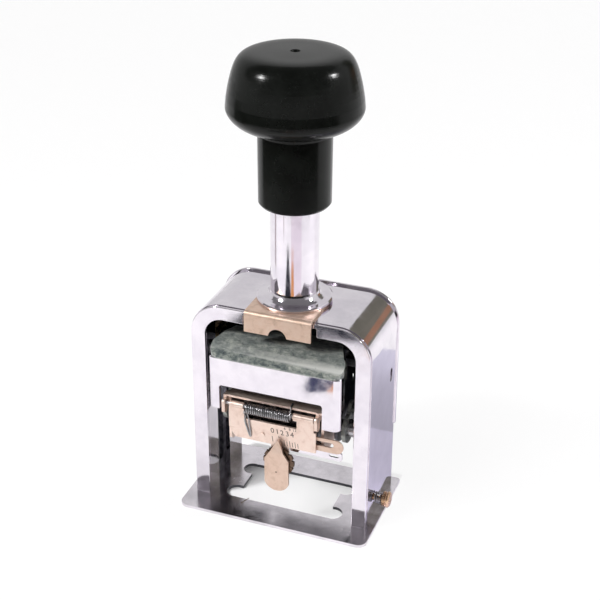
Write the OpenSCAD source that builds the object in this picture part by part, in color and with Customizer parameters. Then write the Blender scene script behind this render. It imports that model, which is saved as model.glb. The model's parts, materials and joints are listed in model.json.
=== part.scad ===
// Hand numbering machine: pressing the knob carries a six-wheel numbering head down
// through the frame while the head turns from its ink pad to the paper.
// +Z is up, the front faces -Y, the plunger runs on the Z axis, the foot stands on z = 0.

/* [Base] */
// Width of the base plate
base_w = 73; // [70:0.5:80]
// Depth of the base plate
base_d = 45.2; // [43:0.1:50]
// Thickness of the base plate
base_t = 1.2; // [1:0.1:1.6]
// Middle of the base plate, behind the plunger axis
base_y = -2.85; // [-3.5:0.05:-2]

/* [Frame] */
// Outer width of the frame
frame_w = 67.8; // [66:0.2:69]
// Depth of the frame
frame_d = 30.8; // [30:0.2:33]
// Height of the frame's top above the paper
frame_h = 82; // [81:0.5:84]
// Radius of the frame's top corners
frame_r = 12; // [8:0.5:13]
// Width of the front opening
open_w = 56.4; // [56:0.1:57]
// Height of the front opening's top above the paper
open_h = 76.7; // [75:0.1:78]
// Thickness of the front face plate
face_t = 1.4; // [1:0.1:1.6]

/* [Knob and stem] */
// Largest radius of the knob
knob_r = 23.2; // [20:0.1:24]
// Height of the knob's top above the paper
knob_top = 171.8; // [170:0.1:176]
// Height of the knob's widest ring
knob_mid = 153.3; // [150:0.1:156]
// Height of the lower end of the knob's skirt
skirt_z = 118.9; // [117:0.1:121]
// Outer radius of the chromed guide sleeve
sleeve_r = 8.55; // [8:0.05:8.6]
// Radius of the guide sleeve's flange
flange_r = 13.55; // [12:0.05:14]

/* [Numbering head] */
// Radius over the raised figures of a number wheel
wheel_r = 10.3; // [10:0.1:10.3]
// Number of number wheels
wheel_count = 6; // [6]
// Distance from one number wheel to the next
wheel_pitch = 4.8; // [4.8:0.05:4.85]
// Figures on a number wheel
figures = 10; // [10]
// Height of the wheel shaft at rest
head_z = 37; // [36.8:0.1:37]
// Place of the wheel shaft in front of the plunger axis
head_y = -6; // [-6.1:0.1:-5.9]
// Angle through which the head turns over one stroke
head_turn = 76; // [70:1:78]
// Teeth on the repeat setting wheel
star_teeth = 12; // [10:1:14]

/* [Springs] */
// Turns of the main spring
main_turns = 15; // [10:1:18]
// Wire of the main spring
main_wire = 1.3; // [1:0.1:1.5]
// Turns of the spring over the dial plate
dial_turns = 16; // [10:1:16]
// Wire of the spring over the dial plate
dial_wire = 0.55; // [0.4:0.05:0.6]

/* [Hidden] */
$fn = 64;
eps = 0.01;

// Colours as they show on the object
chrome = [0.86, 0.85, 0.88];
nickel = [0.85, 0.74, 0.68];
cast_grey = [0.42, 0.45, 0.42];
steel = [0.6, 0.6, 0.62];
black = [0.08, 0.09, 0.08];
bronze = [0.42, 0.3, 0.22];
copper = [0.72, 0.5, 0.4];
brass = [0.75, 0.62, 0.35];
felt = [0.16, 0.16, 0.2];

// Clearances
run_fit = 0.06;
gap = 0.3;

// Stroke: the lowest figures come from head_z down to the paper at z = 0
stroke = head_z - wheel_r;

// Ink pad
pad_face = head_y + wheel_r + gap;
pad_w = 32;
pad_t = 3;
pad_bottom = 30;
pad_h = 13.4;

// Frame
half_d = frame_d / 2;
half_open = open_w / 2;
frame_x = frame_w / 2;
ceiling_z = frame_h - 2.4;
groove_front = -6.5;
groove_rear = 4;
groove_x = half_open + 3.7;
groove_top = 72;
corner_r = 7;

// Guide sleeve
bracket_t = 0.9;
flange_z = frame_h + bracket_t;
sleeve_top = 130;
sleeve_bore = 7;
spring_seat = 86;

// Plunger
rod_r = 3.2;
rod_top = 162;
bore_top = 158;
skirt_r = 12.6;
skirt_bore = sleeve_r + 0.35;
block_top = 70.5;
block_bottom = 59.5;
block_front = -19.8;
block_rear = pad_face - gap;
cap_w = 49.8;
cap_front = -21.3;

// Carriage yoke
yoke_y = -21.3;
yoke_t = 1.5;
yoke_w = 49.6;
yoke_top = 64.6;
yoke_bottom = 44;
yoke_open_left = -20.5;
yoke_open_right = 18.4;
yoke_open_top = 53.8;
yoke_corner = 2.4;

// Side arms that carry the wheel shaft
arm_x = 19.6;
arm_t = 1.4;
arm_boss = 5.5;

// Numbering head
crank_x = 22.4;
crank_t = 1.4;
shaft_r = 2.4;
shaft_end = crank_x + crank_t;
cheek_x = 17.2;
cheek_t = 1;
hinge_y = -20.6;
hinge_z = 46.8;
hinge_rod_r = 0.65;
roof_z = 48.8;
roof_t = 0.8;
dial_y = -20.9;
dial_t = 0.9;
dial_bottom = 33.3;
star_x = 2.5;
star_z = 27.3;
star_r = 5.9;
star_y = -22.1;
star_t = 0.9;
lever_y = -23.3;
lever_t = 0.8;
stud_r = 1.2;

// Crank and cam: the crank pin runs in a slot that follows the head's turn
crank_r = 7;
crank_angle = 58;
pin_r = 1.7;
slot_half = pin_r + 0.25;
cam_x = 30.4;
cam_t = 1.5;
slot_steps = 24;

// Lock button
lock_y = head_y;
lock_z = head_z - stroke - 0.9;
lock_r = 1.3;
lock_rest = 28.4;
lock_head_x = 37.4;
lock_turns = 3;
lock_wire = 0.45;

// ---- Shapes that repeat ----

// Extrudes a profile drawn in Y and Z along +X from x0
module slab_x(x0, thick) {
    translate([x0, 0, 0])
        rotate([90, 0, 90])
            linear_extrude(thick)
                children();
}

// Extrudes a profile drawn in X and Z along +Y from y0
module slab_y(y0, thick) {
    translate([0, y0 + thick, 0])
        rotate([90, 0, 0])
            linear_extrude(thick)
                children();
}

module rod_x(x0, x1, y, z, r) {
    translate([x0, y, z])
        rotate([0, 90, 0])
            cylinder(h = x1 - x0, r = r);
}

module rod_y(y0, y1, x, z, r) {
    translate([x, y1, z])
        rotate([90, 0, 0])
            cylinder(h = y1 - y0, r = r);
}

// Flat rectangle with round corners, from its lower left corner
module round_rect(w, h, r) {
    translate([r, 0])
        square([w - 2 * r, h]);
    translate([0, r])
        square([w, h - 2 * r]);
    for (x = [r, w - r], y = [r, h - r])
        translate([x, y])
            circle(r);
}

// Flat arch: straight sides and round top corners
module arch(half_w, z0, z1, r) {
    translate([-half_w, z0])
        square([2 * half_w, z1 - z0 - r]);
    translate([r - half_w, z0])
        square([2 * (half_w - r), z1 - z0]);
    for (side = [-1, 1])
        translate([side * (half_w - r), z1 - r])
            circle(r);
}

// Flat bar with round ends between two points
module stadium(a, b, r) {
    span = norm(b - a);
    turn = atan2(b[1] - a[1], b[0] - a[0]);
    translate(a)
        circle(r);
    translate(b)
        circle(r);
    translate(a)
        rotate(turn)
            translate([0, -r])
                square([span, 2 * r]);
}

// Faces of a tube of `sides` sides and `rings` rings, with flat ends
function tube_faces(rings, sides) = concat(
    [for (i = [0:rings - 2], k = [0:sides - 1])
        [i * sides + k, i * sides + (k + 1) % sides, (i + 1) * sides + k]],
    [for (i = [0:rings - 2], k = [0:sides - 1])
        [i * sides + (k + 1) % sides, (i + 1) * sides + (k + 1) % sides, (i + 1) * sides + k]],
    [for (k = [1:sides - 2]) [0, k + 1, k]],
    [for (k = [1:sides - 2])
        [(rings - 1) * sides, (rings - 1) * sides + k, (rings - 1) * sides + k + 1]]
);

// Helix about +Z from z = 0: one unbroken tube, `turns` turns in `height`
module helix(radius, wire, turns, height, rings_per_turn = 8, sides = 6) {
    rings = turns * rings_per_turn + 1;
    wire_r = wire / 2;
    points = [
        for (i = [0:rings - 1])
            let (a = 360 * i / rings_per_turn, z = height * i / (rings - 1))
                for (k = [0:sides - 1])
                    let (b = -360 * k / sides, r = radius + wire_r * cos(b))
                        [r * cos(a), r * sin(a), z + wire_r * sin(b)]
    ];
    polyhedron(points = points, faces = tube_faces(rings, sides), convexity = 10);
}

// Least gap between a helix and its own next turn, measured on the tube's points
function helix_ring(i, k, radius, wire, turns, height) =
    let (a = 45 * i, b = -60 * k, r = radius + wire / 2 * cos(b))
        [r * cos(a), r * sin(a), height * i / (turns * 8) + wire / 2 * sin(b)];
function helix_gap(radius, wire, turns, height) = min([
    for (i = [0:8], j = [i + 6:i + 10], k = [0:5], m = [0:5])
        norm(helix_ring(i, k, radius, wire, turns, height)
            - helix_ring(j, m, radius, wire, turns, height))
]);

// ---- Root: base and frame ----

// Window in the base: a rectangle with a lobe at each corner and a narrow waist
module window_shape() {
    front = -14.1;
    rear = 8.6;
    front_r = 3.7;
    rear_r = 3.4;
    translate([-18.2, front])
        square([36.4, rear - front]);
    for (side = [-1, 1]) {
        translate([side * 19.3, front + front_r])
            circle(front_r);
        translate([side * 19.3, rear - rear_r])
            circle(rear_r);
    }
}

// Outline of the base plate: rounder at its front corners than behind
module base_shape() {
    translate([-base_w / 2, base_y - base_d / 2])
        round_rect(base_w, base_d - 4, 3.2);
    translate([-base_w / 2, base_y - base_d / 2 + 4])
        round_rect(base_w, base_d - 4, 1.5);
}

module base_plate() {
    color(chrome)
        difference() {
            linear_extrude(base_t)
                base_shape();
            translate([0, 0, -1])
                linear_extrude(base_t + 2)
                    window_shape();
            // Sighting line in front of the window
            translate([-13.9, -15.4, base_t - 0.15])
                rotate(68)
                    translate([-2, -0.15, 0])
                        cube([4, 0.3, 1]);
            for (side = [-1, 1], y = [-11, 11])
                translate([side * 31, y, -1])
                    cylinder(h = base_t + 2, r = 1.2);
        }
}

// Four rivets hold the legs to the base, with flat heads sunk in its underside
module base_rivets() {
    color(steel)
        for (side = [-1, 1], y = [-11, 11])
            translate([side * 31, y, 0.1])
                cylinder(h = 4, r = 1.18);
}

module leg_groove(side) {
    x0 = side > 0 ? half_open - eps : -groove_x;
    translate([x0, groove_front, base_t - 1])
        cube([groove_x - half_open + eps, groove_rear - groove_front, groove_top - base_t + 1]);
}

module frame_shell() {
    color(chrome)
        difference() {
            slab_y(face_t - half_d, frame_d - face_t)
                arch(frame_x, base_t, frame_h, frame_r);
            slab_y(-half_d, frame_d + 2)
                arch(half_open, base_t - 1, ceiling_z, corner_r + 1);
            leg_groove(-1);
            leg_groove(1);
            // Hole for the guide sleeve
            translate([0, 0, ceiling_z - 1])
                cylinder(h = 5, r = 8);
            // Bore for the lock pin
            rod_x(half_open - 1, frame_x + 1, lock_y, lock_z, lock_r + run_fit);
            // Short slot low on the right side, near the back
            slab_x(frame_x - 2.5, 4)
                stadium([9.6, 51.2], [9.6, 54.4], 1.2);
            for (side = [-1, 1], y = [-11, 11])
                translate([side * 31, y, 0])
                    cylinder(h = 4.2, r = 1.2);
        }
}

// Front face plate of the frame, notched at the top for the bracket
module front_plate() {
    color(chrome)
        difference() {
            slab_y(-half_d, face_t)
                arch(frame_x - 0.3, base_t, frame_h - 0.3, frame_r - 0.3);
            slab_y(-half_d - 1, face_t + 2)
                arch(half_open, base_t - 1, open_h, corner_r);
            translate([-13.3, -half_d - 1, open_h - 1])
                cube([27.2, face_t + 2, frame_h - open_h - 0.9]);
        }
}

module back_plate() {
    color(chrome)
        difference() {
            slab_y(half_d, 1.2)
                arch(frame_x + 0.5, 28.5, frame_h + 0.8, frame_r + 0.5);
            // Notch through which the pad holder draws out
            translate([-17.6, half_d - 1, 28])
                cube([35.2, 4, 18.4]);
            for (side = [-1, 1], z = [34, 74])
                rod_y(half_d - 1, half_d + 3, side * 30.6, z, 1.2);
        }
}

module back_plate_screws() {
    color(steel)
        for (side = [-1, 1], z = [34, 74])
            difference() {
                union() {
                    rod_y(half_d, half_d + 1.2, side * 30.6, z, 1.18);
                    rod_y(half_d + 1.2, half_d + 2, side * 30.6, z, 2.1);
                }
                translate([side * 30.6 - 3, half_d + 1.6, z - 0.25])
                    cube([6, 1, 0.5]);
            }
}

// Two angles behind the wheels on which the pad holder slides
module pad_guides() {
    color(steel)
        for (side = [-1, 1])
            translate([side > 0 ? 17.7 : -19.1, 0, 0])
                difference() {
                    translate([0, 6.2, 27.6])
                        cube([1.4, half_d - 6.2, 18]);
                    translate([-1, 0, 40])
                        rotate([20, 0, 0])
                            cube([4, 9, 12]);
                }
}

// Chromed sleeve: flange, fillet, tube, and a shouldered spigot through the frame
module guide_sleeve() {
    fillet = 3;
    outer = concat(
        [[7.9, 76.4], [7.9, flange_z], [flange_r - 0.2, flange_z], [flange_r, flange_z + 0.2],
         [flange_r, flange_z + 0.8], [flange_r - 0.4, flange_z + 1.2]],
        [for (a = [0:15:90])
            [sleeve_r + fillet * (1 - sin(a)), flange_z + 1.2 + fillet * (1 - cos(a))]],
        [[sleeve_r, sleeve_top - 0.4], [sleeve_r - 0.4, sleeve_top]]
    );
    inner = [[sleeve_bore, sleeve_top], [sleeve_bore, spring_seat],
             [rod_r + run_fit, spring_seat], [rod_r + run_fit, 76.4]];
    color(chrome)
        rotate_extrude()
            polygon(concat(outer, inner));
}

module sleeve_nut() {
    color(steel)
        difference() {
            translate([0, 0, 76.4])
                cylinder(h = ceiling_z - 76.4, r = 11, $fn = 6);
            translate([0, 0, 76])
                cylinder(h = 5, r = 7.92);
        }
}

// Bent bracket clamped under the sleeve's flange, with a leg over the front opening
module stop_bracket() {
    leg_y = -17;
    half_w = 12.45;
    z_top = frame_h + bracket_t;
    bend = 1.6;
    color(nickel)
        difference() {
            union() {
                translate([0, 0, frame_h])
                    linear_extrude(bracket_t)
                        union() {
                            circle(half_w);
                            translate([-half_w, leg_y + bend])
                                square([2 * half_w, -leg_y - bend]);
                        }
                // Round bend from the top into the leg
                intersection() {
                    difference() {
                        rod_x(-half_w, half_w, leg_y + bend, z_top - bend, bend);
                        rod_x(-half_w - 1, half_w + 1, leg_y + bend, z_top - bend, bend - bracket_t);
                    }
                    translate([-half_w, leg_y, z_top - bend])
                        cube([2 * half_w, bend, bend]);
                }
                translate([-half_w, leg_y, 74.9])
                    cube([2 * half_w, bracket_t, z_top - bend - 74.9]);
            }
            translate([0, 0, frame_h - 1])
                cylinder(h = 4, r = 7.95);
            rod_y(leg_y - 1, leg_y + 2, 0, 74.5, 3.4);
        }
}

// Centre line of the cam slot at a share t of the stroke
function crank_point(t) = let (a = crank_angle - head_turn * t)
    [head_y + crank_r * cos(a), head_z - stroke * t + crank_r * sin(a)];
function slot_side(t, side) =
    let (d = crank_point(t + 0.001) - crank_point(t - 0.001), n = [-d[1], d[0]] / norm(d))
        crank_point(t) + side * slot_half * n;

module cam_slot() {
    polygon(concat(
        [for (i = [0:slot_steps]) slot_side(i / slot_steps, 1)],
        [for (i = [slot_steps:-1:0]) slot_side(i / slot_steps, -1)]
    ));
    translate(crank_point(0))
        circle(slot_half);
    translate(crank_point(1))
        circle(slot_half);
}

module cam_plate(x0) {
    color(steel)
        difference() {
            slab_x(x0, cam_t)
                difference() {
                    translate([groove_front + 0.1, base_t])
                        square([groove_rear - groove_front - 0.2, 48]);
                    cam_slot();
                }
            rod_x(x0 - 1, x0 + cam_t + 1, lock_y, lock_z, lock_r + 0.5);
        }
}

module cam_plate_left() {
    cam_plate(-cam_x - cam_t);
}

module cam_plate_right() {
    cam_plate(cam_x);
}

module main_spring() {
    length = bore_top - spring_seat - main_wire;
    echo(main_spring_gap = helix_gap(5.4, main_wire, main_turns, length));
    color(steel)
        translate([0, 0, spring_seat + main_wire / 2])
            helix(5.4, main_wire, main_turns, length);
}

// ---- Plunger: everything that the knob pushes straight down ----

// Upper profile: sides that lean in, tight shoulders and a nearly flat top
knob_lean = 4.2;
function knob_upper() = [for (a = concat([0, 0.02, 0.4, 1.6], [for (b = [4:4:88]) b]))
    let (s = pow(sin(a), 2 / 9), c = pow(cos(a), 2 / 9))
        [(knob_r - knob_lean * pow(s, 1.5)) * c, knob_mid + (knob_top - 0.1 - knob_mid) * s]];
// Lower profile: a fuller curve that runs in to the skirt
function knob_lower() = [for (a = [84:-6:6])
    [skirt_r + 0.3 + (knob_r - skirt_r - 0.3) * pow(cos(a), 2 / 1.8),
     knob_mid - (knob_mid - 146) * pow(sin(a), 2 / 1.8)]];

module knob() {
    dimple_r = 1.7;
    profile = concat(
        [[skirt_bore, skirt_z], [skirt_r - 0.7, skirt_z], [skirt_r, skirt_z + 0.9],
         [skirt_r + 0.1, 144.4], [skirt_r + 0.5, 145.5]],
        knob_lower(),
        knob_upper(),
        [[dimple_r, knob_top], [1.1, knob_top - 0.9], [0, knob_top - 1.1],
         [0, rod_top + 0.5], [rod_r + 0.02, rod_top + 0.5], [rod_r + 0.02, bore_top],
         [skirt_bore, bore_top]]
    );
    color(black)
        rotate_extrude()
            polygon(profile);
}

module plunger_rod() {
    color(steel)
        difference() {
            translate([0, 0, 61])
                cylinder(h = rod_top - 61, r = rod_r);
            rod_x(-5, 5, 0, 64.6, 1.02);
        }
}

module bumper_ring() {
    color(black)
        translate([0, 0, block_top])
            difference() {
                cylinder(h = 76.4 - gap - block_top, r = 5.2);
                translate([0, 0, -1])
                    cylinder(h = 8, r = rod_r + 0.1);
            }
}

// Outline of the cast head's body behind the yoke, seen from above
module block_plan() {
    translate([-23.4, block_front])
        round_rect(46.8, 14, 4.4);
    translate([-arm_x, -10])
        square([2 * arm_x, block_rear + 10]);
}

// Outline of its sloping top, which covers the yoke's upper edge and narrows behind
module cap_plan() {
    half = cap_w / 2;
    front_r = 4.4;
    rear_x = 18.4;
    rear_y = -7.6;
    rear_r = 2.5;
    polygon([[-half, cap_front + front_r], [front_r - half, cap_front], [half - front_r, cap_front],
             [half, cap_front + front_r], [rear_x + rear_r, rear_y], [rear_x, rear_y + rear_r],
             [-rear_x, rear_y + rear_r], [-rear_x - rear_r, rear_y]]);
    for (side = [-1, 1]) {
        translate([side * (half - front_r), cap_front + front_r])
            circle(front_r);
        translate([side * rear_x, rear_y])
            circle(rear_r);
    }
    translate([-arm_x, -10])
        square([2 * arm_x, block_rear + 10]);
}

// Cast head of the carriage: a slope at the front, a flat behind, lower round the rod
module carriage_block() {
    lip_z = yoke_top + 0.5;
    ridge_y = -10.8;
    ridge_z = block_top - 0.3;
    crown = 0.7;
    slope = [for (i = [0:8])
        let (t = i / 8)
            [cap_front + t * (ridge_y - cap_front),
             lip_z + t * (ridge_z - lip_z) + crown * sin(180 * t)]];
    color(cast_grey)
        difference() {
            union() {
                translate([0, 0, block_bottom])
                    cylinder(h = block_top - block_bottom, r = block_rear - 0.1);
                translate([0, 0, block_bottom])
                    linear_extrude(yoke_top + 0.1 - block_bottom)
                        block_plan();
                intersection() {
                    slab_x(-26, 52)
                        polygon(concat(
                            [[block_rear, yoke_top], [cap_front, yoke_top]],
                            slope,
                            [[-5.6, ridge_z], [-5.2, block_top - 2.2], [block_rear, block_top - 2.2]]
                        ));
                    translate([0, 0, yoke_top])
                        linear_extrude(20)
                            cap_plan();
                }
            }
            translate([0, 0, 61])
                cylinder(h = 20, r = rod_r + 0.02);
            rod_x(-20, 20, 0, 64.6, 1.02);
        }
}

// Chromed front of the carriage: a cross bar with two legs, its ends turned back
module carriage_yoke() {
    color(chrome)
        difference() {
            intersection() {
                translate([0, 0, yoke_bottom])
                    linear_extrude(yoke_top - yoke_bottom)
                        difference() {
                            translate([-yoke_w / 2, yoke_y])
                                round_rect(yoke_w, 9, yoke_corner);
                            translate([-yoke_w / 2 + yoke_t, yoke_y + yoke_t])
                                round_rect(yoke_w - 2 * yoke_t, 9, yoke_corner - yoke_t);
                            translate([-yoke_w, yoke_y + 3.8])
                                square([2 * yoke_w, 10]);
                        }
                slab_y(yoke_y - 1, 12)
                    translate([-yoke_w / 2, yoke_bottom])
                        square([yoke_w, 40]);
            }
            slab_y(yoke_y - 1, 12) {
                translate([yoke_open_left, yoke_bottom - 1])
                    square([yoke_open_right - yoke_open_left, yoke_open_top - yoke_bottom]);
                translate([yoke_open_left + 1, yoke_bottom])
                    square([yoke_open_right - yoke_open_left - 2, yoke_open_top - yoke_bottom]);
                for (x = [yoke_open_left + 1, yoke_open_right - 1])
                    translate([x, yoke_open_top - 1])
                        circle(1);
            }
            // The legs lose their turned-back ends, which leaves room for the slide
            translate([-yoke_w, yoke_y + 2.1, yoke_bottom - 1])
                cube([2 * yoke_w, 10, 11]);
        }
}

// Arm from the cast head down to the wheel shaft, with a lug out to the guide shoe
module side_arm(side) {
    x0 = side > 0 ? arm_x : -arm_x - arm_t;
    color(steel)
        difference() {
            union() {
                slab_x(x0, arm_t) {
                    translate([-4.6, head_z + 6])
                        square([9, 68 - head_z - 6]);
                    translate([head_y, head_z])
                        circle(arm_boss);
                    polygon([[head_y + 1.2, head_z + 5.2], [-4.6, head_z + 8], [4.4, head_z + 8],
                             [head_y + 5.3, head_z - 1.4]]);
                }
                translate([side > 0 ? arm_x + arm_t - eps : -half_open, -3.6, 61])
                    cube([half_open - arm_x - arm_t + eps, 5.4, 3]);
            }
            rod_x(x0 - 1, x0 + arm_t + 1, head_y, head_z, shaft_r + run_fit);
        }
}

module side_arm_left() {
    side_arm(-1);
}

module side_arm_right() {
    side_arm(1);
}

// Two screws hold each arm to the cast head
module arm_screws() {
    color(steel)
        for (side = [-1, 1], y = [-3.2, 3])
            translate([side > 0 ? arm_x + arm_t : -arm_x - arm_t - 0.8, 0, 0])
                rod_x(0, 0.8, y, 66.2, 1.1);
}

module guide_shoes() {
    color(brass)
        for (side = [-1, 1])
            translate([side > 0 ? half_open : -cam_x + gap, groove_front + gap, 58.5])
                cube([cam_x - gap - half_open, groove_rear - groove_front - 2 * gap, 9]);
}

// Cross pin that holds the rod in the cast head
module rod_pin() {
    color(steel)
        rod_x(-14, 14, 0, 64.6, 1);
}

// ---- Numbering head: turns on the wheel shaft as the carriage comes down ----

// Profile of a cheek in Y and Z
module cheek_shape() {
    translate([head_y, head_z])
        circle(6);
    polygon([[-18.2, roof_z + 0.4], [-18.2, 30.6], [-16.4, 29.4], [head_y - 2, head_z - 5.6],
             [head_y + 1, head_z + 5.8], [-14.3, roof_z + 0.4]]);
}

module head_frame() {
    color(nickel) {
        difference() {
            union() {
                slab_x(-cheek_x - cheek_t, cheek_t)
                    cheek_shape();
                slab_x(cheek_x, cheek_t)
                    cheek_shape();
                // Roof plate between the cheeks
                translate([-cheek_x - cheek_t, -19.8, roof_z])
                    cube([2 * (cheek_x + cheek_t), 5.5, roof_t]);
                // Ears that hold the hinge rod
                slab_x(-19.4, 1.2)
                    hinge_ear();
                slab_x(15.8, 1.2)
                    hinge_ear();
            }
            rod_x(-20, 20, hinge_y, hinge_z, hinge_rod_r + 0.02);
            rod_x(-20, 20, head_y, head_z, shaft_r + 0.02);
        }
    }
}

module hinge_ear() {
    stadium([hinge_y, hinge_z - 2.8], [hinge_y, hinge_z], 1.4);
    translate([hinge_y + 0.5, hinge_z - 1])
        square([3, roof_z + roof_t - hinge_z + 1]);
}

module wheel_shaft() {
    color(steel)
        rod_x(-shaft_end, shaft_end, head_y, head_z, shaft_r);
}

// Crank plate with its pin, which the cam slot steers
module crank(side) {
    x0 = side > 0 ? crank_x : -crank_x - crank_t;
    pin_x = side > 0 ? crank_x + crank_t - eps : -cam_x - cam_t + gap;
    pin = crank_point(0);
    color(cast_grey)
        difference() {
            union() {
                slab_x(x0, crank_t) {
                    translate([head_y, head_z])
                        circle(5.6);
                    stadium([head_y, head_z], pin, 3.2);
                }
                rod_x(pin_x, pin_x + cam_x + cam_t - gap - crank_x - crank_t + eps, pin[0], pin[1], pin_r);
            }
            rod_x(x0 - 1, x0 + crank_t + 1, head_y, head_z, shaft_r + 0.02);
        }
}

module crank_left() {
    crank(-1);
}

module crank_right() {
    crank(1);
}

// Screws in the shaft's ends; the right one is hollow and takes the lock pin
module crank_screws() {
    color(steel) {
        rod_x(-shaft_end - 1.4, -shaft_end, head_y, head_z, 3.2);
        difference() {
            rod_x(shaft_end, 27.7, head_y, head_z, 3.2);
            rod_x(shaft_end + 1, 28, head_y, head_z, lock_r + 1.15);
        }
    }
}

module hinge_rod() {
    color(steel)
        rod_x(-19.4, 17, hinge_y, hinge_z, hinge_rod_r);
}

// Spring comb behind the dial plate: one finger rests at each wheel's ratchet
module detent_comb() {
    color(steel)
        union() {
            translate([-cheek_x, -18.15, 33])
                cube([2 * cheek_x, 0.6, 4.4]);
            for (i = [0:wheel_count - 1])
                translate([wheel_place(i) + 3.2, -17.56, 34.8])
                    cube([0.9, 2.7, 0.5]);
        }
}

// Chromed rail under the slide, at the right of the head
module lower_rail() {
    color(chrome)
        difference() {
            slab_y(-18.8, 0.6 - eps)
                translate([5.6, 30.7])
                    round_rect(19.7, 3.2, 0.6);
            slab_y(-20, 4)
                stadium([21, 32.4], [23.6, 32.4], 0.5);
        }
}

// ---- Dial plate: hangs on the hinge rod, pressed back by its spring ----

module dial_shape() {
    polygon([[-17.1, 45.6], [-17.1, 37.2], [-14.7, dial_bottom], [16.1, dial_bottom],
             [16.1, 41.6], [15.3, 41.6], [15.3, 45.8], [8.9, 45.8], [8.9, 41.8], [-11.2, 41.8],
             [-11.2, 45.8], [-16.6, 45.8]]);
    // Tongue that carries the repeat setting
    stadium([star_x, star_z], [star_x, dial_bottom + 2], 3.4);
}

module dial_barrel(x0, x1) {
    rod_x(x0, x1, hinge_y, hinge_z, 1.15);
    translate([x0, dial_y, 45])
        cube([x1 - x0, 0.9, hinge_z - 45]);
}

module dial_plate() {
    color(nickel)
        difference() {
            union() {
                slab_y(dial_y, dial_t)
                    dial_shape();
                dial_barrel(-16.6, -11.3);
                dial_barrel(7.5, 15.3);
                // Rivet head on the face
                rod_y(dial_y - 0.35, dial_y, -4.1, 36.5, 0.85);
            }
            rod_x(-20, 20, hinge_y, hinge_z, hinge_rod_r + run_fit);
            rod_y(-24, -18, star_x, star_z, stud_r + 0.02);
        }
}

// Torsion spring round the hinge rod, with one leg down the dial plate's face
module dial_spring() {
    length = 17.25;
    radius = 1.75;
    echo(dial_spring_gap = helix_gap(radius, dial_wire, dial_turns, length));
    color(steel) {
        // The coil is wider than the rod, so it sags forwards and down on it
        translate([-10.3, hinge_y - 0.5, hinge_z - 0.42])
            rotate([0, 90, 0])
                helix(radius, dial_wire, dial_turns, length);
    }
}

module selector_stud() {
    color(steel)
        rod_y(lever_y + 0.35, dial_y + dial_t, star_x, star_z, stud_r);
}

// Toothed wheel of the repeat setting
module selector_star() {
    tooth = 360 / star_teeth;
    outline = [
        for (i = [0:star_teeth - 1])
            each [
                [for (s = [-0.32, -0.2]) star_r * [cos((i + s) * tooth), sin((i + s) * tooth)]],
                [for (s = [0.2, 0.32]) star_r * [cos((i + s) * tooth), sin((i + s) * tooth)]],
                [[4.9 * cos((i + 0.5) * tooth), 4.9 * sin((i + 0.5) * tooth)]]
            ]
    ];
    color(bronze)
        slab_y(star_y, star_t)
            translate([star_x, star_z])
                difference() {
                    polygon([for (group = outline) each group]);
                    circle(stud_r + run_fit);
                }
}

// Setting lever: a finger tab below, a folded point above that reads on the dial
module selector_lever() {
    half_w = 4.6;
    tab_x = star_x - 0.4;
    color(nickel)
        difference() {
            union() {
                slab_y(lever_y, lever_t)
                    translate([tab_x, 0]) {
                        translate([-half_w, 19.4])
                            square([2 * half_w, 9.2]);
                        intersection() {
                            translate([0, 20.3])
                                circle(half_w + 0.3);
                            translate([-half_w, 15])
                                square([2 * half_w, 6]);
                        }
                        polygon([[-half_w, 28.5], [half_w, 28.5], [half_w - 1.9, 31.5],
                                 [1.9 - half_w, 31.5]]);
                    }
                // Folded point
                translate([tab_x, lever_y, 31.4])
                    rotate([-7, 0, 0])
                        translate([0, lever_t, 0])
                            rotate([90, 0, 0])
                                linear_extrude(lever_t)
                                    polygon([[1.9 - half_w, 0], [half_w - 1.9, 0], [0.55, 5.2],
                                             [0.05, 5.2]]);
            }
            rod_y(lever_y + 0.3, lever_y + 2, star_x, star_z, stud_r + run_fit);
        }
}

// Slotted slide with a round end, at the right of the dial plate
module slotted_slide() {
    slide_z = 36.65;
    half_h = 2.75;
    color(nickel)
        slab_y(-19.6, 0.7)
            difference() {
                union() {
                    translate([12.4, slide_z - half_h])
                        square([25.9 - half_h - 12.4, 2 * half_h]);
                    translate([25.9 - half_h, slide_z])
                        circle(half_h);
                }
                stadium([15.4, slide_z + 0.4], [21.4, slide_z + 0.4], 0.95);
            }
}

// ---- Number wheels ----

function wheel_place(i) = (i - wheel_count / 2) * wheel_pitch + 0.2;

// One number wheel: a rim with ten raised lands and a ratchet beside it
module number_wheel(i) {
    rim_w = 3;
    ratchet_w = 1.3;
    x0 = wheel_place(i);
    color(brass)
        translate([x0, head_y, head_z])
            rotate([0, 90, 0])
                difference() {
                    union() {
                        cylinder(h = rim_w, r = 9.5);
                        intersection() {
                            cylinder(h = rim_w, r = wheel_r);
                            for (k = [0:figures / 2 - 1])
                                rotate(head_turn + k * 360 / figures)
                                    translate([-wheel_r, -1.9, 0.2])
                                        cube([2 * wheel_r, 3.8, rim_w - 0.4]);
                        }
                        translate([0, 0, rim_w])
                            rotate(head_turn)
                                linear_extrude(ratchet_w)
                                    ratchet_shape();
                    }
                    translate([0, 0, -1])
                        cylinder(h = 8, r = shaft_r + run_fit);
                }
}

module ratchet_shape() {
    step = 360 / figures;
    polygon([
        for (k = [0:figures - 1])
            each [8.4 * [cos(k * step), sin(k * step)], 6.9 * [cos(k * step + 4), sin(k * step + 4)]]
    ]);
}

module number_wheel_1() {
    number_wheel(0);
}

module number_wheel_2() {
    number_wheel(1);
}

module number_wheel_3() {
    number_wheel(2);
}

module number_wheel_4() {
    number_wheel(3);
}

module number_wheel_5() {
    number_wheel(4);
}

module number_wheel_6() {
    number_wheel(5);
}

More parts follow.
